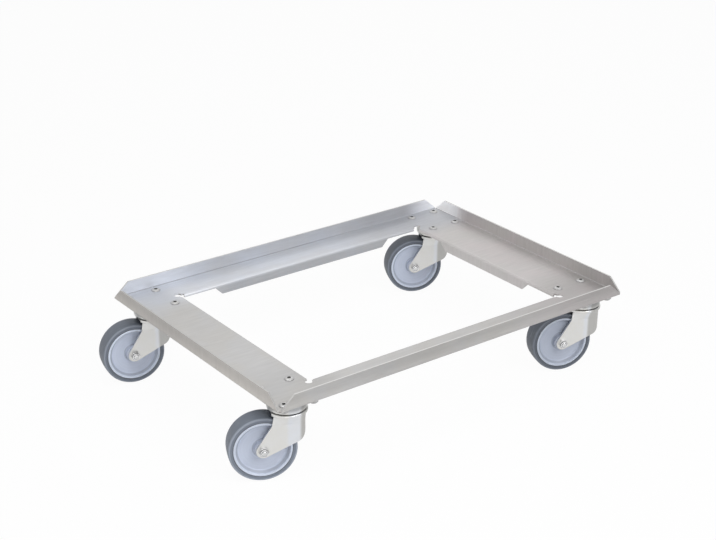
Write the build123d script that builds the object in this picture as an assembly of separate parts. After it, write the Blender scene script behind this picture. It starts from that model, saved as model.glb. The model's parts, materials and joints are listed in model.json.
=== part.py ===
from build123d import *
from math import acos, atan2, cos, degrees, floor, hypot, pi, radians, sin
import os

# A crate dolly: a ring frame folded from one aluminium sheet, carried by four swivel casters.
# Millimetres, +Z up, +X along the frame's long side. The origin is on the floor under the frame's centre.

# Frame, measured over the outer faces of its upstands and from the faces of its sheet
FRAME_LENGTH = 660.0
FRAME_WIDTH = 466.5
SHEET = 2.5
BEND_INNER_RADIUS = 1.5
UPSTAND_HEIGHT = 23.6
UPSTAND_END_RUN = 26.8
SIDE_RAIL_WIDTH = 57.1
LIP_DEPTH = 17.8
LIP_END_DEPTH = 5.0
SIDE_LIP_DEEP_LENGTH = 326.0
END_LIP_DEEP_LENGTH = 195.0
LIP_END_GAP = 6.0
CORNER_RELIEF_RADIUS = 6.0

# Casters: for each its side of the frame in X and Y, and the direction in which its wheel trails at rest,
# in degrees from +X
CASTERS = {
    "front_left": (-1, -1, 155.5),
    "front_right": (1, -1, 158.6),
    "rear_left": (-1, 1, 167.2),
    "rear_right": (1, 1, 154.9),
}

# Deck screws and lock nuts
SCREW_SPACING_X = 50.0
SCREW_SPACING_Y = 60.0
SCREW_RADIUS = 4.0
SCREW_END = 1.0
SCREW_HOLE_CLEARANCE = 0.4
SCREW_HEAD_OVERHANG = 3.0
SCREW_HEAD_HEIGHT = 2.4
SCREW_HEAD_RIM = 0.6
SCREW_HEAD_FLAT_RADIUS = 3.4
SCREW_HEAD_BULGE = 0.4
SOCKET_WIDTH = 5.0
SOCKET_DEPTH = 2.2
THREAD_CHAMFER = 0.8
NUT_WALL = 2.5
NUT_HEX_HEIGHT = 4.2
NUT_COLLAR_HEIGHT = 1.8
NUT_COLLAR_WALL = 1.7
NUT_COLLAR_EDGE_RADIUS = 0.8
HEX_CORNER_DROP = 0.6

# Top plate, with the swivel head drawn down from it. The gaps run from its edges to the frame's bends.
PLATE_MARGIN = 7.75
PLATE_THICKNESS = 2.5
PLATE_CORNER_RADIUS = 6.0
PLATE_SIDE_GAP = 3.75
PLATE_END_GAP = 6.35
PLATE_LIP_GAP = 10.55
HEAD_NUT_CLEARANCE = 2.6
HEAD_DEPTH = 18.7
HEAD_WALL = 2.5
HEAD_FLOOR = 3.5
HEAD_EDGE_RADIUS = 1.5

# Swivel bearing: a riveted king pin with a ring of balls above the fork's crown and one below it
KING_PIN_RADIUS = 5.0
KING_PIN_HEAD_RADIUS = 9.0
KING_PIN_HEAD_HEIGHT = 4.0
KING_PIN_TAIL_RADIUS = 8.0
KING_PIN_TAIL_HEIGHT = 3.5
KING_PIN_EDGE_RADIUS = 1.5
SWIVEL_GAP = 1.2
SWIVEL_CLEARANCE = 0.3
BALL_SEAT_CLEARANCE = 0.05
BALL_PITCH = 1.2
UPPER_BALL_RADIUS = 2.5
UPPER_BALL_INSET = 8.0
LOWER_BALL_RADIUS = 2.0
LOWER_BALL_CIRCLE = 12.5
LOWER_RACE_RADIUS = 17.0
LOWER_RACE_THICKNESS = 3.0
LOWER_RACE_EDGE_RADIUS = 0.8

# Fork: a round crown with a straight front, and a neck that narrows to a hood with a flat back and two legs
FORK_SHEET = 2.5
CROWN_OVERHANG = 1.2
CROWN_THICKNESS = 3.0
CROWN_SKIRT_DEPTH = 4.3
CROWN_FRONT_MARGIN = 1.0
CROWN_EDGE_RADIUS = 1.6
CROWN_LOWER_EDGE_RADIUS = 0.8
CROWN_STEP = 2.4
NECK_HEIGHT = 14.1
BACK_DEPTH = 37.6
BACK_EDGE_RADIUS = 20.0
BACK_CORNER_RADIUS = 10.0
LEG_FRONT_REACH = 24.0
LEG_ELBOW_DEPTH = 14.6
LEG_TIP_RADIUS = 10.5
TRAIL = 36.7
WHEEL_TOP_CLEARANCE = 3.7
WHEEL_SIDE_CLEARANCE = 2.0
WHEEL_BACK_CLEARANCE = 11.2

# Wheel: a moulded rim with a recessed disc on both faces, and a crowned tyre between its flanges
WHEEL_RADIUS = 50.0
TYRE_INSET = 0.4
TYRE_FLANK_LEAN = 0.4
TYRE_CROWN = 0.7
TYRE_SHOULDER_RADIUS = 1.6
RIM_HALF_WIDTH = 15.4
RIM_RADIUS = 42.3
RIM_RING_WIDTH = 3.3
RIM_RING_STEP = 2.2
RIM_FLANGE_THICKNESS = 3.0
RIM_CHANNEL_DEPTH = 2.8
RIM_DISH_DEPTH = 7.0
RIM_DISH_SLOPE_WIDTH = 4.5
RIM_DISH_FILLET = 2.0
RIM_EDGE_RADIUS = 0.9
HUB_RADIUS = 13.0
HUB_EDGE_RADIUS = 1.0
HUB_ROOT_RADIUS = 1.5
HUB_LEG_CLEARANCE = 0.8

# Axle: a bolt and a lock nut that clamp the legs on a sleeve, and the hub's bush that turns on the sleeve
AXLE_RADIUS = 4.0
AXLE_HOLE_CLEARANCE = 0.1
AXLE_HEAD_HEIGHT = 5.3
AXLE_END = 1.0
SLEEVE_WALL = 2.0
BUSH_CLEARANCE = 0.06
BUSH_WALL = 3.0

# Sizes that follow. Heights in a caster count from the deck's underside, and its X runs towards the axle.
BEND_RADIUS = BEND_INNER_RADIUS + SHEET
NUT_FLAT_RADIUS = SCREW_RADIUS + NUT_WALL
NUT_HEIGHT = NUT_HEX_HEIGHT + NUT_COLLAR_HEIGHT
SCREW_HOLE_RADIUS = SCREW_RADIUS + SCREW_HOLE_CLEARANCE
SCREW_HEAD_RADIUS = SCREW_RADIUS + SCREW_HEAD_OVERHANG
SCREW_LENGTH = SHEET + PLATE_THICKNESS + NUT_HEIGHT + SCREW_END
PLATE_LENGTH_X = SCREW_SPACING_X + 2 * PLATE_MARGIN
PLATE_LENGTH_Y = SCREW_SPACING_Y + 2 * PLATE_MARGIN
CASTER_INSET_X = BEND_RADIUS + PLATE_END_GAP + PLATE_LENGTH_X / 2
CASTER_INSET_Y = BEND_RADIUS + PLATE_SIDE_GAP + PLATE_LENGTH_Y / 2
END_RAIL_WIDTH = CASTER_INSET_X + PLATE_LENGTH_X / 2 + PLATE_LIP_GAP + BEND_RADIUS
OPENING_LENGTH = FRAME_LENGTH - 2 * END_RAIL_WIDTH
OPENING_WIDTH = FRAME_WIDTH - 2 * SIDE_RAIL_WIDTH
NUT_CORNER_RADIUS = NUT_FLAT_RADIUS / cos(radians(30))
HEAD_RADIUS = hypot(SCREW_SPACING_X, SCREW_SPACING_Y) / 2 - NUT_CORNER_RADIUS - HEAD_NUT_CLEARANCE
UPPER_BALL_CIRCLE = HEAD_RADIUS - UPPER_BALL_INSET
CROWN_RADIUS = HEAD_RADIUS + CROWN_OVERHANG
CROWN_FRONT_REACH = UPPER_BALL_CIRCLE + UPPER_BALL_RADIUS + CROWN_FRONT_MARGIN
NECK_RADIUS = CROWN_RADIUS - CROWN_STEP
TYRE_HALF_WIDTH = RIM_HALF_WIDTH - TYRE_INSET
BACK_REACH = WHEEL_RADIUS - TRAIL + WHEEL_BACK_CLEARANCE
SLEEVE_RADIUS = AXLE_RADIUS + SLEEVE_WALL
AXLE_FLAT_RADIUS = AXLE_RADIUS + NUT_WALL
LEG_INSIDE = RIM_HALF_WIDTH + WHEEL_SIDE_CLEARANCE
LEG_OUTSIDE = LEG_INSIDE + FORK_SHEET
HUB_HALF_WIDTH = LEG_INSIDE - HUB_LEG_CLEARANCE
BUSH_INSIDE = SLEEVE_RADIUS + BUSH_CLEARANCE
BUSH_RADIUS = BUSH_INSIDE + BUSH_WALL
HEAD_FLOOR_TOP = HEAD_FLOOR - HEAD_DEPTH
CROWN_TOP = -HEAD_DEPTH - SWIVEL_GAP
CROWN_BOTTOM = CROWN_TOP - CROWN_THICKNESS
SKIRT_BOTTOM = CROWN_TOP - CROWN_SKIRT_DEPTH
NECK_BOTTOM = SKIRT_BOTTOM - NECK_HEIGHT
UPPER_BALL_HEIGHT = CROWN_TOP + SWIVEL_GAP / 2
LOWER_BALL_HEIGHT = CROWN_BOTTOM - SWIVEL_GAP / 2
LOWER_RACE_TOP = CROWN_BOTTOM - SWIVEL_GAP
LOWER_RACE_BOTTOM = LOWER_RACE_TOP - LOWER_RACE_THICKNESS
AXLE_HEIGHT = SKIRT_BOTTOM - WHEEL_TOP_CLEARANCE - WHEEL_RADIUS
DECK_UNDERSIDE = WHEEL_RADIUS - AXLE_HEIGHT
# How far a fold's strip laps back over the flat sheet, from where its bend begins
FOLD_ROOT = -2 * BEND_RADIUS
# Longer than any piece, for cuts that go right through
FAR = FRAME_LENGTH + FRAME_WIDTH


def closed_face(points, radii):
    """A flat face inside a closed line of points, with each corner rounded by its radius."""
    return make_face(FilletPolyline(*points, radius=radii, close=True))


def turned(points, radii):
    """A solid of revolution about Z from a half section given as (radius, height) points."""
    return revolve(Plane.XZ * closed_face(points, radii), Axis.Z)


def group(solids):
    """Separate solids kept together as one piece's set."""
    return Compound(children=[item.solid() for item in solids])


def hexagon_prism(flat, height):
    """A hexagon standing on z = 0, this far from its axis to its flats, with its corners turned off."""
    corner = flat / cos(radians(30))
    low = [(0, 0), (flat, 0), (corner, HEX_CORNER_DROP)]
    high = [(corner, height - HEX_CORNER_DROP), (flat, height), (0, height)]
    prism = extrude(RegularPolygon(flat, 6, major_radius=False), height)
    return prism & revolve(Plane.XZ * make_face(Polyline(*low, *high, close=True)), Axis.Z)


def lock_nut(bore_radius, flat):
    """A hexagon nut standing on z = 0 with the round collar of its locking insert on top."""
    collar_radius = bore_radius + NUT_COLLAR_WALL
    collar = turned(
        [(0, 0), (collar_radius, 0), (collar_radius, NUT_HEIGHT), (0, NUT_HEIGHT)],
        [0, 0, NUT_COLLAR_EDGE_RADIUS, 0],
    )
    bore = Cylinder(bore_radius, FAR)
    return hexagon_prism(flat, NUT_HEX_HEIGHT) + collar - bore


# Frame


def both_ends(half):
    """An outline that is the same at both ends, from the points of its +X end."""
    return half + [(-x, y) for x, y in reversed(half)]


def fold(height, outline):
    """A strip along X, bent up at y = 0 to a wall of this height, and trimmed to an outline in XZ."""
    outer = FilletPolyline((FOLD_ROOT, 0), (BEND_RADIUS, 0), (BEND_RADIUS, height), radius=BEND_RADIUS)
    inner_wall = BEND_RADIUS - SHEET
    wall = [(FOLD_ROOT, SHEET), (inner_wall, SHEET), (inner_wall, height)]
    inner = FilletPolyline(*wall, radius=BEND_INNER_RADIUS)
    section = make_face([outer, Line(outer @ 1, inner @ 1), inner, Line(inner @ 0, outer @ 0)])
    strip = extrude(Plane.YZ * section, FAR / 2, both=True)
    return strip & extrude(Plane.XZ * make_face(Polyline(*outline, close=True)), FAR / 2, both=True)


def upstand(side_length):
    """An outer wall along one side, notched at the corners, with ends that lean away from them."""
    corner = side_length / 2
    notch = corner - BEND_RADIUS
    outline = both_ends([(notch, 0), (notch, BEND_RADIUS), (corner - UPSTAND_END_RUN, UPSTAND_HEIGHT)])
    return fold(UPSTAND_HEIGHT, outline)


def lip(opening_side, deep_length):
    """A down-turned lip along one side of the opening, short of its corners, and deep in the middle."""
    end = opening_side / 2 - LIP_END_GAP
    deep = deep_length / 2
    step_end = deep + LIP_DEPTH - LIP_END_DEPTH
    outline = both_ends([(end, 0), (end, LIP_END_DEPTH), (step_end, LIP_END_DEPTH), (deep, LIP_DEPTH)])
    return mirror(fold(LIP_DEPTH, outline), Plane.XY.offset(SHEET / 2))


def screw_places():
    """Every deck screw's place in plan."""
    for side_x, side_y, _ in CASTERS.values():
        x, y = swivel_place(side_x, side_y)
        for step_x in (-0.5, 0.5):
            for step_y in (-0.5, 0.5):
                yield x + step_x * SCREW_SPACING_X, y + step_y * SCREW_SPACING_Y


def swivel_place(side_x, side_y):
    """A caster's swivel axis in plan."""
    return side_x * (FRAME_LENGTH / 2 - CASTER_INSET_X), side_y * (FRAME_WIDTH / 2 - CASTER_INSET_Y)


def deck_frame():
    """The folded sheet: a flat ring, four upstands outside, four lips inside, reliefs and screw holes."""
    on_sheet = (Align.CENTER, Align.CENTER, Align.MIN)
    flat_opening = (OPENING_LENGTH + 2 * BEND_RADIUS, OPENING_WIDTH + 2 * BEND_RADIUS)
    frame = Box(FRAME_LENGTH - 2 * BEND_RADIUS, FRAME_WIDTH - 2 * BEND_RADIUS, SHEET, align=on_sheet)
    frame -= Box(*flat_opening, SHEET, align=on_sheet)
    for corner in GridLocations(*flat_opening, 2, 2):
        frame -= corner * Cylinder(CORNER_RELIEF_RADIUS, FAR)
    sides = (
        (0, FRAME_LENGTH, FRAME_WIDTH, OPENING_LENGTH, OPENING_WIDTH, SIDE_LIP_DEEP_LENGTH),
        (90, FRAME_WIDTH, FRAME_LENGTH, OPENING_WIDTH, OPENING_LENGTH, END_LIP_DEEP_LENGTH),
    )
    for turn, length, across, opening_length, opening_across, deep_length in sides:
        wall = Pos(Y=across / 2 - BEND_RADIUS) * upstand(length)
        inner = Pos(Y=-opening_across / 2 - BEND_RADIUS) * lip(opening_length, deep_length)
        for half_turn in (0, 180):
            frame += Rot(Z=turn + half_turn) * wall
            frame += Rot(Z=turn + half_turn) * inner
    for x, y in screw_places():
        frame -= Pos(x, y) * Cylinder(SCREW_HOLE_RADIUS, FAR)
    return Pos(Z=DECK_UNDERSIDE) * frame


def deck_screw():
    """A button head screw with a hexagon socket, its head standing on z = 0."""
    rim = (SCREW_HEAD_RADIUS, SCREW_HEAD_RIM)
    flat = (SCREW_HEAD_FLAT_RADIUS, SCREW_HEAD_HEIGHT)
    edges = [
        Polyline((0, SCREW_HEAD_HEIGHT), (0, 0), (SCREW_HEAD_RADIUS, 0), rim),
        SagittaArc(rim, flat, -SCREW_HEAD_BULGE),
        Line(flat, (0, SCREW_HEAD_HEIGHT)),
    ]
    head = revolve(Plane.XZ * make_face(edges), Axis.Z)
    socket = extrude(RegularPolygon(SOCKET_WIDTH / 2, 6, major_radius=False), SOCKET_DEPTH)
    shank = threaded_shank(SCREW_RADIUS, SCREW_LENGTH)
    return head + shank - Pos(Z=SCREW_HEAD_HEIGHT - SOCKET_DEPTH) * socket


def threaded_shank(radius, length):
    """A plain shank down from z = 0 with a chamfered end."""
    end = [(radius, THREAD_CHAMFER - length), (radius - THREAD_CHAMFER, -length), (0, -length)]
    return revolve(Plane.XZ * make_face(Polyline((0, 0), (radius, 0), *end, close=True)), Axis.Z)


# Caster pieces that stay with the frame


def top_plate():
    """The plate under the deck, with the cup drawn down from it for the king pin and the upper balls."""
    outline = RectangleRounded(PLATE_LENGTH_X, PLATE_LENGTH_Y, PLATE_CORNER_RADIUS)
    sheet = extrude(outline, -PLATE_THICKNESS)
    cup = turned(
        [(0, 0), (HEAD_RADIUS, 0), (HEAD_RADIUS, -HEAD_DEPTH), (0, -HEAD_DEPTH)],
        [0, 0, HEAD_EDGE_RADIUS, 0],
    )
    inside = HEAD_RADIUS - HEAD_WALL
    hollow = turned(
        [(0, FAR), (inside, FAR), (inside, HEAD_FLOOR_TOP), (0, HEAD_FLOOR_TOP)],
        [0, 0, HEAD_EDGE_RADIUS, 0],
    )
    plate = sheet + cup - hollow - Cylinder(KING_PIN_RADIUS, FAR)
    plate -= Pos(Z=UPPER_BALL_HEIGHT) * Torus(UPPER_BALL_CIRCLE, UPPER_BALL_RADIUS + SWIVEL_CLEARANCE)
    for place in GridLocations(SCREW_SPACING_X, SCREW_SPACING_Y, 2, 2):
        plate -= place * Cylinder(SCREW_HOLE_RADIUS, FAR)
    return plate


def king_pin():
    """The rivet that holds the swivel together: its head in the cup, its tail under the lower race."""
    head_top = HEAD_FLOOR_TOP + KING_PIN_HEAD_HEIGHT
    tail_end = LOWER_RACE_BOTTOM - KING_PIN_TAIL_HEIGHT
    points = [
        (0, head_top),
        (KING_PIN_HEAD_RADIUS, head_top),
        (KING_PIN_HEAD_RADIUS, HEAD_FLOOR_TOP),
        (KING_PIN_RADIUS, HEAD_FLOOR_TOP),
        (KING_PIN_RADIUS, LOWER_RACE_BOTTOM),
        (KING_PIN_TAIL_RADIUS, LOWER_RACE_BOTTOM),
        (KING_PIN_TAIL_RADIUS, tail_end),
        (0, tail_end),
    ]
    return turned(points, [0, KING_PIN_EDGE_RADIUS, 0, 0, 0, 0, KING_PIN_EDGE_RADIUS, 0])


def lower_race():
    """The washer on the king pin's tail, with a groove for the lower balls."""
    points = [
        (KING_PIN_RADIUS, LOWER_RACE_TOP),
        (LOWER_RACE_RADIUS, LOWER_RACE_TOP),
        (LOWER_RACE_RADIUS, LOWER_RACE_BOTTOM),
        (KING_PIN_RADIUS, LOWER_RACE_BOTTOM),
    ]
    washer = turned(points, [0, LOWER_RACE_EDGE_RADIUS, LOWER_RACE_EDGE_RADIUS, 0])
    groove = Torus(LOWER_BALL_CIRCLE, LOWER_BALL_RADIUS + SWIVEL_CLEARANCE)
    return washer - Pos(Z=LOWER_BALL_HEIGHT) * groove


# Caster pieces that swivel


def ball_ring(ball_radius, circle_radius, height):
    """Balls spaced evenly round the swivel axis."""
    count = floor(2 * pi * circle_radius / (2 * ball_radius * BALL_PITCH))
    places = PolarLocations(circle_radius, count)
    return group([place * Pos(Z=height) * Sphere(ball_radius) for place in places])


def tangent_point(start, centre, radius, side):
    """Where the line from a point touches a circle, on the circle's left (side 1) or right (side -1)."""
    away_x, away_y = start[0] - centre[0], start[1] - centre[1]
    turn = atan2(away_y, away_x) - side * acos(radius / hypot(away_x, away_y))
    return centre[0] + radius * cos(turn), centre[1] + radius * sin(turn)


def leg_outline():
    """The fork's side view below its neck, with an elbow in front and a round tip at the axle."""
    axle = (TRAIL, AXLE_HEIGHT)
    elbow = (LEG_FRONT_REACH, SKIRT_BOTTOM - LEG_ELBOW_DEPTH)
    back = (-BACK_REACH, SKIRT_BOTTOM - BACK_DEPTH)
    upper = tangent_point(elbow, axle, LEG_TIP_RADIUS, 1)
    lower = tangent_point(back, axle, LEG_TIP_RADIUS, -1)
    upper_turn, lower_turn = (atan2(z - axle[1], x - axle[0]) for x, z in (upper, lower))
    tip_turn = (upper_turn + lower_turn) / 2
    tip = (axle[0] + LEG_TIP_RADIUS * cos(tip_turn), axle[1] + LEG_TIP_RADIUS * sin(tip_turn))
    neck_back = (-BACK_REACH, NECK_BOTTOM)
    edges = [
        FilletPolyline(lower, back, neck_back, radius=BACK_EDGE_RADIUS),
        Polyline(neck_back, (LEG_FRONT_REACH, NECK_BOTTOM), elbow, upper),
        ThreePointArc(upper, tip, lower),
    ]
    return make_face(edges)


def hood_back(half_width):
    """Where the back of the hood's plan lies, and the radius of its corners, for its outside or inside."""
    inset = LEG_OUTSIDE - half_width
    return inset - BACK_REACH, BACK_CORNER_RADIUS - inset


def hood_points(half_width):
    """Where the hood's plan changes from straight to round, from one leg's front to the other's."""
    back, radius = hood_back(half_width)
    half = [(LEG_FRONT_REACH, half_width), (back + radius, half_width), (back, half_width - radius)]
    return half + [(x, -y) for x, y in reversed(half)]


def hood_line(half_width):
    """The hood's plan just under the neck: a leg, a round corner, the back, a corner and the other leg."""
    front, side, rear, other_rear, other_side, other_front = hood_points(half_width)
    radius = side[0] - rear[0]
    return [
        Line(front, side),
        CenterArc((side[0], rear[1]), radius, 90, 90),
        Line(rear, other_rear),
        CenterArc((side[0], -rear[1]), radius, 180, 90),
        Line(other_side, other_front),
    ]


def crown_line(radius, half_width):
    """The neck's round top as five arcs, which end in the directions of the hood's points."""
    turns = [degrees(atan2(y, x)) % 360 for x, y in hood_points(half_width)]
    return [CenterArc((0, 0), radius, start, end - start) for start, end in zip(turns, turns[1:])]


def sheet_section(outer, inner):
    """The sheet between an outer and an inner line."""
    ends = [Line(outer[0] @ 0, inner[0] @ 0), Line(outer[-1] @ 1, inner[-1] @ 1)]
    return make_face([*outer, *inner, *ends])


def neck():
    """The sheet's blend from the round crown to the hood, open in front for the wheel."""
    crown_edge = sheet_section(
        crown_line(NECK_RADIUS, LEG_OUTSIDE), crown_line(NECK_RADIUS - FORK_SHEET, LEG_INSIDE)
    )
    hood_edge = sheet_section(hood_line(LEG_OUTSIDE), hood_line(LEG_INSIDE))
    return loft([Pos(Z=SKIRT_BOTTOM) * crown_edge, Pos(Z=NECK_BOTTOM) * hood_edge], ruled=True)


def leg_walls(half_width):
    """The hood's plan with its legs drawn out past the axle, as a block down from the neck."""
    back, radius = hood_back(half_width)
    corners = [(back, half_width), (FAR, half_width), (FAR, -half_width), (back, -half_width)]
    return Pos(Z=NECK_BOTTOM) * extrude(closed_face(corners, [radius, 0, 0, radius]), -FAR)


def fork():
    """One drawn sheet: crown with both ball grooves and a cut front, neck, back, legs and axle holes."""
    crown = turned(
        [(0, CROWN_TOP), (CROWN_RADIUS, CROWN_TOP), (CROWN_RADIUS, SKIRT_BOTTOM), (0, SKIRT_BOTTOM)],
        [0, CROWN_EDGE_RADIUS, CROWN_LOWER_EDGE_RADIUS, 0],
    )
    crown -= Pos(X=CROWN_FRONT_REACH) * Box(FAR, FAR, FAR, align=(Align.MIN, Align.CENTER, Align.CENTER))
    in_front = Rectangle(FAR, 2 * LEG_INSIDE, align=(Align.MIN, Align.CENTER))
    under_plan = Circle(NECK_RADIUS - FORK_SHEET) + in_front
    under_crown = Pos(Z=CROWN_BOTTOM) * extrude(under_plan, SKIRT_BOTTOM - CROWN_BOTTOM)
    legs = leg_walls(LEG_OUTSIDE) - leg_walls(LEG_INSIDE)
    legs &= extrude(Plane.XZ * leg_outline(), FAR / 2, both=True)
    body = crown - under_crown + neck() + legs
    body -= Cylinder(KING_PIN_RADIUS + SWIVEL_CLEARANCE, FAR)
    body -= Pos(Z=UPPER_BALL_HEIGHT) * Torus(UPPER_BALL_CIRCLE, UPPER_BALL_RADIUS + BALL_SEAT_CLEARANCE)
    body -= Pos(Z=LOWER_BALL_HEIGHT) * Torus(LOWER_BALL_CIRCLE, LOWER_BALL_RADIUS + BALL_SEAT_CLEARANCE)
    return body - on_axle(Cylinder(AXLE_RADIUS + AXLE_HOLE_CLEARANCE, FAR))


def on_axle(piece):
    """A piece made along Z about the origin, laid along the axle with its +Z end on the +Y side."""
    return Pos(TRAIL, 0, AXLE_HEIGHT) * Rot(X=-90) * piece


def axle_bolt():
    """A hexagon head bolt through both legs, its head on the -Y side and its end past the nut."""
    length = 2 * LEG_OUTSIDE + NUT_HEIGHT + AXLE_END
    head = Pos(Z=-LEG_OUTSIDE) * Rot(X=180) * hexagon_prism(AXLE_FLAT_RADIUS, AXLE_HEAD_HEIGHT)
    return on_axle(head + Pos(Z=-LEG_OUTSIDE) * Rot(X=180) * threaded_shank(AXLE_RADIUS, length))


def axle_nut():
    """The lock nut on the +Y side."""
    return on_axle(Pos(Z=LEG_OUTSIDE) * lock_nut(AXLE_RADIUS, AXLE_FLAT_RADIUS))


def axle_sleeve():
    """The spacer tube clamped between the legs, on which the hub turns."""
    bore = Cylinder(AXLE_RADIUS + AXLE_HOLE_CLEARANCE, FAR)
    return on_axle(Cylinder(SLEEVE_RADIUS, 2 * LEG_INSIDE) - bore)


# Wheel


def hub_bush():
    """The plain bearing pressed into the hub."""
    return on_axle(Cylinder(BUSH_RADIUS, 2 * HUB_HALF_WIDTH) - Cylinder(BUSH_INSIDE, FAR))


def both_faces(points, radii):
    """A half section on the +Z side of a wheel, carried over to its -Z side."""
    return points + [(r, -z) for r, z in reversed(points)], radii + radii[::-1]


def rim():
    """The moulded wheel body: hub, recessed disc, ring and the channel that holds the tyre."""
    ring_inside = RIM_RADIUS - RIM_RING_WIDTH
    dish = RIM_HALF_WIDTH - RIM_DISH_DEPTH
    channel_side = RIM_HALF_WIDTH - RIM_FLANGE_THICKNESS
    channel_floor = RIM_RADIUS - RIM_CHANNEL_DEPTH
    points = [
        (BUSH_RADIUS, HUB_HALF_WIDTH),
        (HUB_RADIUS, HUB_HALF_WIDTH),
        (HUB_RADIUS, dish),
        (ring_inside - RIM_DISH_SLOPE_WIDTH, dish),
        (ring_inside, RIM_HALF_WIDTH - RIM_RING_STEP),
        (ring_inside, RIM_HALF_WIDTH),
        (RIM_RADIUS, RIM_HALF_WIDTH),
        (RIM_RADIUS, channel_side),
        (channel_floor, channel_side),
    ]
    hub_radii = [0, HUB_EDGE_RADIUS, HUB_ROOT_RADIUS, RIM_DISH_FILLET]
    radii = hub_radii + [0, RIM_EDGE_RADIUS, RIM_EDGE_RADIUS, 0, 0]
    return on_axle(turned(*both_faces(points, radii)))


def tyre():
    """The tyre in the rim's channel, over its flanges, with a crowned tread and round shoulders."""
    channel_side = RIM_HALF_WIDTH - RIM_FLANGE_THICKNESS
    channel_floor = RIM_RADIUS - RIM_CHANNEL_DEPTH
    shoulder = (WHEEL_RADIUS - TYRE_CROWN, TYRE_HALF_WIDTH)
    half = [
        shoulder,
        (RIM_RADIUS, TYRE_HALF_WIDTH - TYRE_FLANK_LEAN),
        (RIM_RADIUS, channel_side),
        (channel_floor, channel_side),
    ]
    other_shoulder = (shoulder[0], -shoulder[1])
    edges = [
        Polyline(*half, *[(r, -z) for r, z in reversed(half)]),
        ThreePointArc(other_shoulder, (WHEEL_RADIUS, 0), shoulder),
    ]
    section = make_face(edges)
    section = fillet(section.vertices().group_by(Axis.X)[-1], TYRE_SHOULDER_RADIUS)
    return on_axle(revolve(Plane.XZ * section, Axis.Z))


# Assembly

FIXED_PIECES = {"top_plate": top_plate(), "king_pin": king_pin(), "lower_race": lower_race()}
SWIVEL_PIECES = {
    "upper_balls": ball_ring(UPPER_BALL_RADIUS, UPPER_BALL_CIRCLE, UPPER_BALL_HEIGHT),
    "lower_balls": ball_ring(LOWER_BALL_RADIUS, LOWER_BALL_CIRCLE, LOWER_BALL_HEIGHT),
    "fork": fork(),
    "axle_bolt": axle_bolt(),
    "axle_nut": axle_nut(),
    "axle_sleeve": axle_sleeve(),
    "hub_bush": hub_bush(),
    "rim": rim(),
    "tyre": tyre(),
}

screw = deck_screw()
nut = Rot(X=180) * lock_nut(SCREW_RADIUS, NUT_FLAT_RADIUS)
nodes = {
    "deck_frame": deck_frame(),
    "deck_screws": group([Pos(x, y, DECK_UNDERSIDE + SHEET) * screw for x, y in screw_places()]),
    "deck_nuts": group([Pos(x, y, DECK_UNDERSIDE - PLATE_THICKNESS) * nut for x, y in screw_places()]),
}
for caster, (side_x, side_y, swing) in CASTERS.items():
    place = Pos(*swivel_place(side_x, side_y), DECK_UNDERSIDE)
    for name, piece in FIXED_PIECES.items():
        nodes[f"{caster}_{name}"] = place * piece
    for name, piece in SWIVEL_PIECES.items():
        nodes[f"{caster}_{name}"] = place * Rot(Z=swing) * piece

os.makedirs("parts", exist_ok=True)
for name, piece in nodes.items():
    export_step(piece, f"parts/{name}.step")
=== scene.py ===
import json
import math
from types import SimpleNamespace

import bpy
import numpy as np
from mathutils import Matrix, Vector

# A crate dolly of folded aluminium sheet on four swivel casters, in metres, in the CAD's frame
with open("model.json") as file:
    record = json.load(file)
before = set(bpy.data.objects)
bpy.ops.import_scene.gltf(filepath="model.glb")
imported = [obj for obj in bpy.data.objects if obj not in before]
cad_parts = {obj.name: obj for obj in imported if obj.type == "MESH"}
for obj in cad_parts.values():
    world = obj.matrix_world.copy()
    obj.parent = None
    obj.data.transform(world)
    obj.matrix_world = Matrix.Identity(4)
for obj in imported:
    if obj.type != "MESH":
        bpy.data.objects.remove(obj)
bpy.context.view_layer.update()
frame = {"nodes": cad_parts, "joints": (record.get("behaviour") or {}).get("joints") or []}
nodes = frame["nodes"]
joints = {joint["name"]: joint for joint in frame["joints"]}

# For each caster: where the painted shade on the back of its fork begins, and the tones of its pieces, which
# are partly painted light, lighter or darker with how light falls on that caster
CASTERS = {
    "front_left": {"back_start": -0.014, "fork": 1.00, "rim": 1.01, "tyre": 1.10},
    "front_right": {"back_start": -0.002, "fork": 0.95, "rim": 0.89, "tyre": 0.62},
    "rear_left": {"back_start": -0.001, "fork": 0.93, "rim": 1.16, "tyre": 0.95},
    "rear_right": {"back_start": -0.001, "fork": 0.93, "rim": 1.10, "tyre": 0.80},
}
SCREW_SPACING_X, SCREW_SPACING_Y = 0.050, 0.060
WHITE = (1.0, 1.0, 1.0, 1.0)


# Shader expressions


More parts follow.
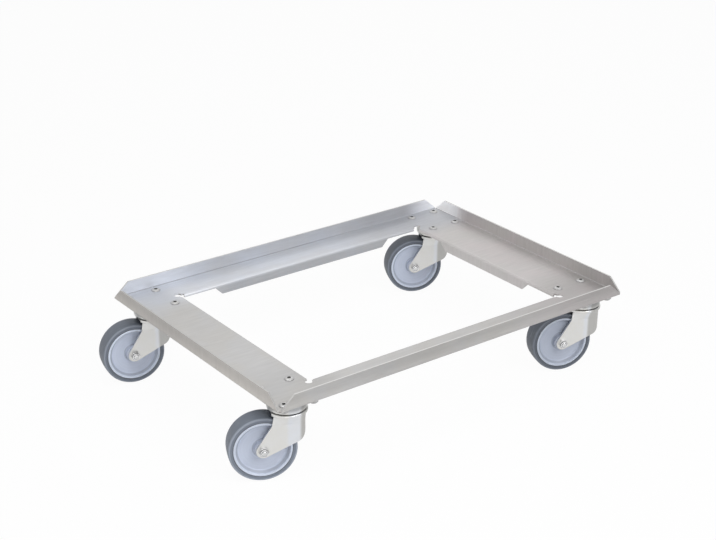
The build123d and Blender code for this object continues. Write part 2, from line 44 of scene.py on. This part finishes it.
class Wire:
    """A node's output socket. Sums, differences and products of wires and numbers add Math nodes."""

    def __init__(self, tree, socket=None):
        self.tree = tree
        self.socket = socket

    def node(self, kind, settings, inputs, output=0):
        """Adds a shader node: its settings first, then a value or a wire for each socket."""
        made = self.tree.nodes.new("ShaderNode" + kind)
        for name, value in settings.items():
            setattr(made, name, value)
        for key, value in inputs.items():
            if isinstance(value, Wire):
                self.tree.links.new(value.socket, made.inputs[key])
            else:
                made.inputs[key].default_value = value
        return Wire(self.tree, made.outputs[output])

    def math(self, operation, *terms):
        """A Math node on these wires and numbers."""
        return self.node("Math", {"operation": operation}, dict(enumerate(terms)))

    def __add__(self, other):
        return self.math("ADD", self, other)

    def __sub__(self, other):
        return self.math("SUBTRACT", self, other)

    def __mul__(self, other):
        return self.math("MULTIPLY", self, other)

    def __radd__(self, other):
        return self.math("ADD", other, self)

    def __rsub__(self, other):
        return self.math("SUBTRACT", other, self)

    def __rmul__(self, other):
        return self.math("MULTIPLY", other, self)

    def __abs__(self):
        return self.math("ABSOLUTE", self)

    def larger(self, other):
        """The larger of this wire and another."""
        return self.math("MAXIMUM", self, other)

    def hypot(self, other):
        """The length of the hypotenuse over two wires."""
        return self.math("SQRT", self * self + other * other)

    def ramp(self, low, high):
        """A smooth step from 0 at low to 1 at high, or down again where low is above high."""
        settings = {"interpolation_type": "SMOOTHSTEP"}
        return self.node("MapRange", settings, {"Value": self, "From Min": low, "From Max": high})

    def between(self, low, high, soft):
        """1 between low and high, falling to 0 over a soft margin outside them."""
        return self.ramp(low - soft, low) * self.ramp(high + soft, high)

    def parts(self):
        """The x, y and z of a vector."""
        return tuple(self.node("SeparateXYZ", {}, {0: self}, axis) for axis in range(3))

    def joined(self, x, y, z):
        """A vector of three wires or numbers."""
        return self.node("CombineXYZ", {}, {0: x, 1: y, 2: z})

    def blend(self, first, second):
        """A colour from first, where this wire is 0, to second, where it is 1."""
        return self.node("Mix", {"data_type": "RGBA"}, {0: self, 6: first, 7: second}, 2)

    def dimmed(self, tone):
        """This colour multiplied by a tone."""
        return self.node("VectorMath", {"operation": "SCALE"}, {0: self, "Scale": tone})

    def noise(self, scale, detail, roughness=0.55):
        """Cloudy noise about 0.5 on this vector."""
        inputs = {"Vector": self, "Scale": scale, "Detail": detail, "Roughness": roughness}
        return self.node("TexNoise", {}, inputs)

    def stretched(self, x, y, z):
        """This vector with each axis multiplied."""
        return self.node("Mapping", {}, {"Vector": self, "Scale": (x, y, z)})

    def bumped(self, distance, strength):
        """A normal from this wire as a height, in units of distance."""
        inputs = {"Height": self, "Distance": distance, "Strength": strength}
        return self.node("Bump", {}, inputs)


def start_finish(name):
    """A new material with a Principled shader: the material, its shader node, and a wire to write with."""
    material = bpy.data.materials.new(name)
    material.use_nodes = True
    tree = material.node_tree
    return material, tree.nodes["Principled BSDF"], Wire(tree)


def wire_up(shader, sockets):
    """Sets or links the named sockets of a shader node."""
    for name, value in sockets.items():
        if isinstance(value, Wire):
            value.tree.links.new(value.socket, shader.inputs[name])
        else:
            shader.inputs[name].default_value = value


def colour(red, green, blue):
    """A colour with full alpha."""
    return (red, green, blue, 1.0)


# Finishes


def local_place(pen, joint, swing):
    """Object coordinates at a joint, turned so that x runs towards the wheel and y along its axle."""
    place = pen.node("TexCoord", {}, {}, "Object")
    inputs = {"Vector": place, "Location": joints[joint]["pos_m"], "Rotation": (0, 0, swing)}
    return pen.node("Mapping", {"vector_type": "TEXTURE"}, inputs)


def swing_of(caster):
    """The direction in which a caster's wheel trails, from its axle's axis."""
    axis = joints[caster + "_wheel_turn"]["axis"]
    return math.atan2(-axis[0], axis[1])


def wheel_frame(pen, caster):
    """Coordinates of a wheel, with the distance from its axle and the place along it."""
    local = local_place(pen, caster + "_wheel_turn", swing_of(caster))
    x, y, z = local.parts()
    return local, x.hypot(z), y


def facing(pen):
    """The surface's normal, as three wires."""
    return pen.node("TexCoord", {}, {}, "Normal").parts()


def screw_distance(x, y):
    """How far a place in plan is from the nearest deck screw. Each corner has the same four screws."""
    swivel = joints["front_left_swivel_turn"]["pos_m"]
    off_x = abs(abs(x) - abs(swivel[0])) - SCREW_SPACING_X / 2
    off_y = abs(abs(y) - abs(swivel[1])) - SCREW_SPACING_Y / 2
    return off_x.hypot(off_y)


def height_on_sheet(z):
    """The height above the sheet's underside."""
    return z - joints["front_left_swivel_turn"]["pos_m"][2]


def sheet_zones(pen):
    """Where painted light and shade change the sheet's tone and tint: left and right along X, near and far
    along Y.

    Each zone is 1 there and 0 elsewhere, apart from the corners, which hold their own share of tone: a
    painted highlight on the upstands' ends.
    """
    place = pen.node("TexCoord", {}, {}, "Object")
    x, y, z = place.parts()
    normal_x, normal_y, normal_z = facing(pen)
    at = SimpleNamespace(place=place, x=x, y=y, z=z, height=height_on_sheet(z))
    at.normal_x, at.normal_y, at.normal_z = normal_x, normal_y, normal_z
    at.deck = normal_z.ramp(0.6, 0.9)
    at.front = normal_y.ramp(-0.6, -0.9)
    at.far = y.ramp(0.12, 0.18) * normal_x.ramp(-0.9, -0.6)
    at.right = x.ramp(0.02, 0.27)
    at.left = x.ramp(-0.18, -0.25) * (1 - at.far)
    at.left_wall = normal_x.ramp(-0.6, -0.9) * x.ramp(-0.2, -0.3)
    at.near = y.ramp(-0.08, -0.18) * (1 - at.left_wall)
    # Painted highlights on the inner faces of the upstands towards the far right corner, stronger on the
    # right upstand
    right_upstand_end = (normal_x * x).ramp(-0.26, -0.31) * y.ramp(0.140, 0.200) * (0.8 + at.right * 0.5)
    far_upstand_end = (normal_y * y).ramp(-0.19, -0.225) * x.ramp(0.25, 0.315) * at.far * 0.9
    at.corners = right_upstand_end + far_upstand_end
    return at


def sheet_tone(at, grain):
    """The grain, made lighter or darker by a share of painted light and shade in each zone."""
    x, y, height, deck, front, far = at.x, at.y, at.height, at.deck, at.front, at.far
    far_left = x.ramp(-0.12, -0.25)
    shares = (
        # Painted shade on the left rail's deck and the left upstand, and painted light and shade on the right
        # rail
        at.left * deck * -0.20,
        at.left_wall * (y.ramp(0.05, -0.20) * 0.15 - 0.13),
        at.right * (0.08 - deck * 0.20),
        # Painted shade on the near upstand past its left end, and on its right end
        front * x.ramp(-0.31, -0.12) * -0.12,
        front * x.ramp(0.12, 0.28) * (1 - far) * -0.19,
        # Painted light and shade on the far rail, and painted shade on its left corner's deck and on its lip
        far * (0.04 + front * 0.07 + far_left * (0.06 + front * 0.18) - at.right * 0.14),
        far * deck * x.ramp(-0.225, -0.27) * -0.20,
        far * height.ramp(-0.001, -0.004) * -0.16,
        # Painted highlights on the upstands' ends at the far right corner, painted shade on the near rail,
        # and painted light and shade on the outer walls from top to foot
        at.corners,
        at.near * (deck * x.ramp(-0.27, -0.20) * -0.12 - 0.10),
        (at.left_wall + front * at.near) * (height.ramp(0.018, 0.005) * 0.13 - 0.06),
    )
    tone = grain
    for share in shares:
        tone = tone * (1 + share)
    return tone


def sheet_tint(at):
    """The sheet's colour, with painted light making it colder on the far rail, pinker on the right and warmer
    on the left upstand.
    """
    hue = at.place.noise(16.0, 2.0).ramp(0.38, 0.66)
    # Painted light: a colder tint on the far rail, mixed with a tint that varies at random
    cold = at.far * 0.75 + hue * 0.25
    tint = cold.blend(colour(0.562, 0.550, 0.535), colour(0.535, 0.555, 0.600))
    # Painted light: a pinker tint on the right, varying at random, less on the far rail and the corners
    pink = at.right * (0.3 + hue * 0.6) * (1 - at.far * 0.8) * (1 - at.corners)
    tint = pink.blend(tint, colour(0.578, 0.540, 0.536))
    # Painted light: a warmer tint on the left upstand
    return (at.left_wall * 0.8).blend(tint, colour(0.570, 0.540, 0.508))


def sheet_aluminium():
    """Mill finish sheet: streaks along the rolling direction, hairline scratches, cloudy tone and tint, and
    painted light and shade by zone.

    The streaks lie on the sheet as if unfolded, so that they run on over the bends. It has painted shade in
    the inner bends and round the screw heads, and is paler on the sheared edges, with painted shade on those
    that face the front and at the left end.
    """
    material, shader, pen = start_finish("sheet_aluminium")
    at = sheet_zones(pen)
    end_wall = abs(at.normal_x)
    unfolded = pen.joined(at.x + at.z * end_wall, at.y + at.z * (1 - end_wall), 0.0)
    streaks = unfolded.stretched(24.0, 190.0, 1.0).noise(1.0, 3.0, 0.6)
    lines = unfolded.stretched(7.0, 820.0, 1.0).noise(1.0, 2.0)
    slanted = {"Vector": unfolded, "Rotation": (0, 0, 0.6), "Scale": (9.0, 380.0, 1.0)}
    scratches = pen.node("Mapping", {}, slanted).noise(1.0, 2.0).ramp(0.66, 0.74)
    clouds = at.place.noise(8.0, 3.0)
    # The grain's tone, with painted light and shade by zone
    tone = sheet_tone(at, 0.72 + streaks * 0.22 + lines * 0.16 + clouds * 0.18)
    # Painted shade in the inner bends, less on the right, and round the screw heads where they meet the deck
    inner_bend = at.height.between(0.0026, 0.0037, 0.0002) * at.normal_z.between(0.2, 0.9, 0.1)
    crease = inner_bend * (0.68 - at.right * 0.45)
    screw_ring = screw_distance(at.x, at.y).between(0.0066, 0.0076, 0.0008) * at.deck
    shade = crease.larger(screw_ring * 0.25)
    shaded = shade.blend(sheet_tint(at).dimmed(tone), colour(0.17, 0.175, 0.20))
    worn = (scratches * 0.22).blend(shaded, colour(0.72, 0.715, 0.70))
    top_edge = at.height.ramp(0.0043, 0.0049) * at.normal_z.ramp(0.25, 0.45)
    low_edge = at.height.ramp(-0.0017, -0.0023) * at.normal_z.ramp(-0.25, -0.45)
    sheared = top_edge + low_edge
    # Painted shade on the sheared edges that face the front and on those at the left end
    edge_shade = at.normal_y.ramp(-0.3, -0.6) + at.x.ramp(-0.31, -0.326)
    pale = sheared.blend(worn, colour(0.60, 0.595, 0.585))
    wire_up(shader, {
        "Base Color": pale.dimmed(1 - sheared * edge_shade * 0.25),
        "Metallic": 0.5,
        "Roughness": 0.33 + lines * 0.10 + clouds * 0.08 + sheared * 0.10,
        "Normal": (streaks * 0.4 + lines * 0.6).bumped(0.00006, 0.5),
    })
    return material


def bright_zinc(caster, back_start, fork_tone_and_light):
    """Zinc plate on drawn steel: smooth, with painted reflections in soft warm and cool bands from its front
    to its back.

    It has painted shade behind back_start, on faces turned towards +X, on the inner faces, under the crown
    and high on the swivel head, and is paler on the cut edges.
    """
    material, shader, pen = start_finish(caster + "_bright_zinc")
    swing = swing_of(caster)
    local = local_place(pen, caster + "_swivel_turn", swing)
    x, y, z = local.parts()
    normal_x, normal_y, normal_z = facing(pen)
    ahead = normal_x * math.cos(swing) + normal_y * math.sin(swing)
    sideways = normal_y * math.cos(swing) - normal_x * math.sin(swing)
    clouds = local.noise(38.0, 4.0)
    drawn = local.stretched(520.0, 520.0, 26.0).noise(1.0, 3.0)
    # Painted shade on the back of the fork, behind back_start
    back = x.ramp(back_start, back_start - 0.005) * normal_z.ramp(0.9, 0.6)
    # Painted reflections: warm and cool bands across the fork, mixed with random clouds
    cool = (x.between(-0.016, -0.001, 0.006) * 0.7 + clouds.ramp(0.35, 0.7) * 0.3) * (1 - back * 0.9)
    base = cool.blend(colour(0.730, 0.722, 0.695), colour(0.735, 0.755, 0.795))
    # The caster's fork tone, partly painted light, with random clouds and drawing marks, and painted shade on
    # faces turned towards +X
    tone = fork_tone_and_light * (0.96 + clouds * 0.04 + drawn * 0.04) * (1 - normal_x.ramp(0.1, 0.9) * 0.14)
    # The painted shade on the fork's back darkens its tone
    tone = tone * (1 - back * 0.33)
    legs = z.ramp(-0.0239, -0.0257)
    low_edge = normal_z.ramp(-0.4, -0.7) * z.ramp(-0.045, -0.05)
    cut = abs(sideways).ramp(0.5, 0.2) * ahead.ramp(0.2, 0.5) * legs + low_edge
    # Painted shade on the inner faces of the legs, under the crown and high on the swivel head
    inside = (y * sideways).ramp(-0.004, -0.010) * legs
    under = normal_z.ramp(-0.5, -0.8) * z.between(-0.0257, -0.0212, 0.001)
    head = z.ramp(-0.0182, -0.0117) * 0.5
    zinc_shade = (inside * 0.45).larger(head.larger(under * 0.75))
    shaded = zinc_shade.blend(base.dimmed(tone), colour(0.12, 0.125, 0.13))
    wire_up(shader, {
        "Base Color": cut.math("MINIMUM", cut, 1.0).blend(shaded, colour(0.80, 0.805, 0.815)),
        "Metallic": 0.92,
        "Roughness": 0.24 + clouds * 0.12 + drawn * 0.06,
        "Normal": drawn.bumped(0.00004, 0.35),
    })
    return material


def plated_screw():
    """Plated deck screws and nuts: matt as the sheet, with painted shade in the sockets and under the heads'
    rims.
    """
    material, shader, pen = start_finish("plated_screw")
    place = pen.node("TexCoord", {}, {}, "Object")
    x, y, z = place.parts()
    distance = screw_distance(x, y)
    on_deck = height_on_sheet(z).ramp(0.0023, 0.0025)
    clouds = place.noise(180.0, 3.0)
    turned = pen.joined(distance, z, 0.0).noise(2600.0, 1.0)
    # Painted shade in the sockets and under the heads' rims
    socket = distance.ramp(0.0031, 0.0026) * on_deck
    rim = distance.ramp(0.0058, 0.0068) * on_deck * 0.25
    base = clouds.ramp(0.3, 0.7).blend(colour(0.45, 0.445, 0.437), colour(0.52, 0.52, 0.522))
    base = rim.blend(base, colour(0.22, 0.22, 0.225)).dimmed(0.92 + turned * 0.16)
    wire_up(shader, {
        "Base Color": (socket * 0.80).blend(base, colour(0.03, 0.03, 0.03)),
        "Metallic": 0.6,
        "Roughness": 0.34 + clouds * 0.16,
        "Normal": turned.bumped(0.00004, 0.4),
    })
    return material


def plated_axle(caster):
    """Bright plated axle parts, with painted shade in dark rings in the thread, at the nut's insert and under
    its collar.
    """
    material, shader, pen = start_finish(caster + "_plated_axle")
    local, radius, side = wheel_frame(pen, caster)
    clouds = local.noise(210.0, 3.0)
    turned = pen.joined(radius, side, 0.0).noise(2600.0, 1.0)
    base = clouds.ramp(0.3, 0.7).blend(colour(0.62, 0.62, 0.62), colour(0.80, 0.805, 0.815))
    outside = abs(side).ramp(0.0200, 0.0205)
    # Painted shade: dark rings by radius on the nut's side of the axle
    thread = radius.between(0.0036, 0.0041, 0.0002) * 0.85
    collar = radius.between(0.0056, 0.0060, 0.0002) * 0.7
    flats = radius.ramp(0.0063, 0.0068) * 0.35
    rings = thread.larger(collar.larger(flats)) * outside
    wire_up(shader, {
        "Base Color": rings.blend(base.dimmed(0.92 + turned * 0.16), colour(0.06, 0.06, 0.065)),
        "Metallic": 0.95,
        "Roughness": 0.16 + clouds * 0.14,
        "Normal": turned.bumped(0.00004, 0.4),
    })
    return material


def polished_bearing():
    """Polished bearing steel with a film of grease."""
    material, shader, pen = start_finish("polished_bearing")
    place = pen.node("TexCoord", {}, {}, "Object")
    film = place.noise(240.0, 2.0)
    wire_up(shader, {
        "Base Color": film.ramp(0.35, 0.7).blend(colour(0.70, 0.70, 0.71), colour(0.42, 0.40, 0.36)),
        "Metallic": 1.0,
        "Roughness": 0.10 + film * 0.14,
    })
    return material


def moulded_rim(caster, rim_tone_and_light):
    """Cool grey moulded plastic with a paler ring, painted shade in a dark line inside it and round the hub,
    flow marks and a fine grain.
    """
    material, shader, pen = start_finish(caster + "_moulded_rim")
    local, radius, _ = wheel_frame(pen, caster)
    clouds = local.noise(45.0, 3.0)
    grain = local.noise(900.0, 2.0)
    flow = pen.joined(radius, clouds * 0.004, 0.0).noise(420.0, 2.0)
    ring = radius.ramp(0.0385, 0.0391)
    # Painted shade: a dark line inside the ring and a dark ring round the hub
    step = radius.between(0.0363, 0.0383, 0.0010) * 0.42
    hub = radius.between(0.0118, 0.0146, 0.0014) * 0.36
    base = clouds.ramp(0.3, 0.7).blend(colour(0.575, 0.630, 0.750), colour(0.605, 0.655, 0.775))
    # The caster's rim tone, partly painted light, with flow marks
    base = ring.blend(base, colour(0.670, 0.730, 0.850)).dimmed(rim_tone_and_light * (0.93 + flow * 0.14))
    shade = step.larger(hub)
    wire_up(shader, {
        "Base Color": shade.blend(base, colour(0.19, 0.205, 0.245)),
        "Roughness": 0.36 + clouds * 0.14,
        "Normal": (grain * 0.5 + flow * 0.5).bumped(0.00005, 0.4),
    })
    return material


def wheel_rubber(caster, tyre_tone_and_light):
    """Blue grey rubber, with a painted highlight on the shoulders, painted shade in a dark line at the rim,
    and dusty scuffs on the tread.
    """
    material, shader, pen = start_finish(caster + "_wheel_rubber")
    local, radius, side = wheel_frame(pen, caster)
    clouds = local.noise(60.0, 4.0)
    grain = local.noise(1100.0, 2.0)
    around = pen.joined(radius, side, 0.0).noise(1500.0, 1.0)
    # Painted shade in a dark line at the rim, and a painted highlight on the shoulders
    seam_shade = radius.ramp(0.0437, 0.0427) * 0.75
    shoulder = radius.between(0.0474, 0.0490, 0.0012) * abs(side).ramp(0.0118, 0.0136)
    tread = radius.ramp(0.0484, 0.0492)
    scuffs = local.stretched(1.0, 4.0, 1.0).noise(70.0, 4.0).ramp(0.52, 0.78) * tread * 0.45
    base = shoulder.blend(colour(0.178, 0.202, 0.246), colour(0.290, 0.322, 0.385))
    base = seam_shade.blend(base, colour(0.045, 0.05, 0.06))
    # The caster's tyre tone, partly painted light, with random variation
    base = base.dimmed(tyre_tone_and_light * (0.88 + around * 0.12 + clouds * 0.12))
    wire_up(shader, {
        "Base Color": scuffs.blend(base, colour(0.30, 0.325, 0.36)),
        "Roughness": 0.46 + clouds * 0.18,
        "Normal": (grain * 0.6 + around * 0.4).bumped(0.00007, 0.5),
    })
    return material


def bearing_plastic():
    """The pale plastic of the hub's bush."""
    material, shader, pen = start_finish("bearing_plastic")
    place = pen.node("TexCoord", {}, {}, "Object")
    clouds = place.noise(120.0, 3.0)
    wire_up(shader, {
        "Base Color": clouds.blend(colour(0.70, 0.70, 0.68), colour(0.80, 0.80, 0.78)),
        "Roughness": 0.42 + clouds * 0.10,
    })
    return material


def dress(node, material):
    """Gives a CAD node's slots this material."""
    for place in nodes[node].material_slots:
        place.material = material


aluminium, screw_plate = sheet_aluminium(), plated_screw()
bearing, bush = polished_bearing(), bearing_plastic()
dress("deck_frame", aluminium)
dress("deck_screws", screw_plate)
dress("deck_nuts", screw_plate)
for caster, tones in CASTERS.items():
    zinc = bright_zinc(caster, tones["back_start"], tones["fork"])
    axle_plate = plated_axle(caster)
    for piece in ("top_plate", "fork"):
        dress(f"{caster}_{piece}", zinc)
    for piece in ("king_pin", "axle_bolt", "axle_nut", "axle_sleeve"):
        dress(f"{caster}_{piece}", axle_plate)
    for piece in ("lower_race", "upper_balls", "lower_balls"):
        dress(f"{caster}_{piece}", bearing)
    dress(caster + "_hub_bush", bush)
    dress(caster + "_rim", moulded_rim(caster, tones["rim"]))
    dress(caster + "_tyre", wheel_rubber(caster, tones["tyre"]))


# Studio


def seen_ray(pen):
    """1 for what the camera sees directly, in a reflection or through glass."""
    names = ("Is Camera Ray", "Is Glossy Ray", "Is Transmission Ray")
    direct, mirrored, passed = (pen.node("LightPath", {}, {}, name) for name in names)
    return direct.larger(mirrored.larger(passed))


def paper_floor():
    """A wide white floor: a flat square, with the corners of a unit square times its half width.

    To the camera and in reflections it is nearly all its own light, so that it is white, and the rest of it
    keeps the object's shadow.
    """
    half_width = 40.0
    own_light = 0.96
    corners = np.array([(-1, -1, 0), (1, -1, 0), (1, 1, 0), (-1, 1, 0)], float) * half_width
    mesh = bpy.data.meshes.new("paper_floor")
    mesh.from_pydata(corners.tolist(), [], [(0, 1, 2, 3)])
    floor = bpy.data.objects.new("paper_floor", mesh)
    bpy.context.scene.collection.objects.link(floor)
    material, shader, pen = start_finish("paper_floor")
    wire_up(shader, {"Base Color": colour(0.93, 0.93, 0.93), "Roughness": 0.9, "Specular IOR Level": 0.1})
    glow = pen.node("Emission", {}, {"Color": WHITE, "Strength": 1.0})
    paper = Wire(pen.tree, shader.outputs[0])
    mixed = pen.node("MixShader", {}, {0: seen_ray(pen) * own_light, 1: paper, 2: glow})
    pen.tree.links.new(mixed.socket, pen.tree.nodes["Material Output"].inputs["Surface"])
    mesh.materials.append(material)


def studio_world():
    """White where it is seen, and a softer even light on the object."""
    world = bpy.data.worlds.new("studio_world")
    bpy.context.scene.world = world
    world.use_nodes = True
    pen = Wire(world.node_tree)
    background = world.node_tree.nodes["Background"]
    wire_up(background, {"Color": WHITE, "Strength": 0.20 + seen_ray(pen) * 0.80})


def soft_box(name, place, target, size, power):
    """A square area light of this size that faces a target."""
    lamp = bpy.data.lights.new(name, "AREA")
    lamp.shape = "SQUARE"
    lamp.size = size
    lamp.energy = power
    light = bpy.data.objects.new(name, lamp)
    light.location = place
    light.rotation_euler = (Vector(target) - Vector(place)).to_track_quat("-Z", "Y").to_euler()
    bpy.context.scene.collection.objects.link(light)


def photo_camera():
    """The photograph's camera: its place, its yaw from +Y towards +X, its pitch down and its roll."""
    place = (-1.33538, -1.745256, 1.143531)
    yaw, pitch, roll = (math.radians(angle) for angle in (36.970, 23.798, 0.288))
    ahead = Vector((math.sin(yaw) * math.cos(pitch), math.cos(yaw) * math.cos(pitch), -math.sin(pitch)))
    right = Vector((math.cos(yaw), -math.sin(yaw), 0))
    up = right.cross(ahead)
    across = right * math.cos(roll) + up * math.sin(roll)
    upward = up * math.cos(roll) - right * math.sin(roll)
    camera = bpy.data.objects.new("camera", bpy.data.cameras.new("camera"))
    turn = Matrix((across, upward, -ahead)).transposed().to_4x4()
    camera.matrix_world = Matrix.Translation(place) @ turn
    camera.data.sensor_width = 36.0
    camera.data.lens = 76.605
    camera.data.clip_end = 100.0
    bpy.context.scene.collection.objects.link(camera)
    bpy.context.scene.camera = camera


photo_camera()
paper_floor()
studio_world()
soft_box("front_box", (0.30, -2.10, 2.22), (0, 0, 0.1), size=1.8, power=41.0)
soft_box("left_box", (-0.68, -0.32, 1.40), (0, 0, 0.1), size=0.9, power=7.0)
soft_box("back_box", (1.28, 1.69, 2.22), (0, 0, 0.1), size=1.8, power=9.0)
soft_box("low_box", (-1.60, -2.10, 0.75), (0, 0, 0.08), size=1.2, power=7.0)
bpy.context.scene.view_settings.view_transform = "Standard"
